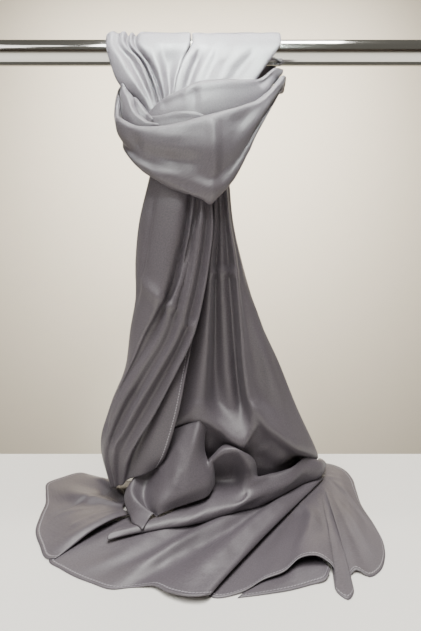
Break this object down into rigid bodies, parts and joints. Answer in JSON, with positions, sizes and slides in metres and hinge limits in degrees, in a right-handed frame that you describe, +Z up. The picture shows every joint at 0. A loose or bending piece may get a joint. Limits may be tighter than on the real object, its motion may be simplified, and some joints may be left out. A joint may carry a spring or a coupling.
{
  "type": "evening stole on a rail",
  "caption": "Plain grey satin evening stole looped round a straight chrome rail, its tails falling to a counter and spreading there in soft folds.",
  "frame": {"origin": "on the rail's axis, above the knot of the stole", "axes": "+X along the rail to the viewer's right, +Y away from the viewer, +Z up"},
  "size_m": [0.56, 0.2388, 0.5205],
  "materials": {
    "chrome": "polished",
    "satin": "satin sheen"
  },
  "bodies": {
    "root": {"rail": "chrome", "leg_left": "satin", "leg_right": "satin", "band_inner": "satin", "band_outer": "satin", "fold_crescent": "satin", "fold_first": "satin", "fold_second": "satin", "tail_left_front": "satin", "tail_left_back": "satin", "tail_right_front": "satin", "tail_right_back": "satin", "heap_lobe": "satin", "heap_roll": "satin", "hem_turned": "satin", "panel_front": "satin", "panel_left": "satin", "panel_right": "satin"}
  },
  "joints": []
}
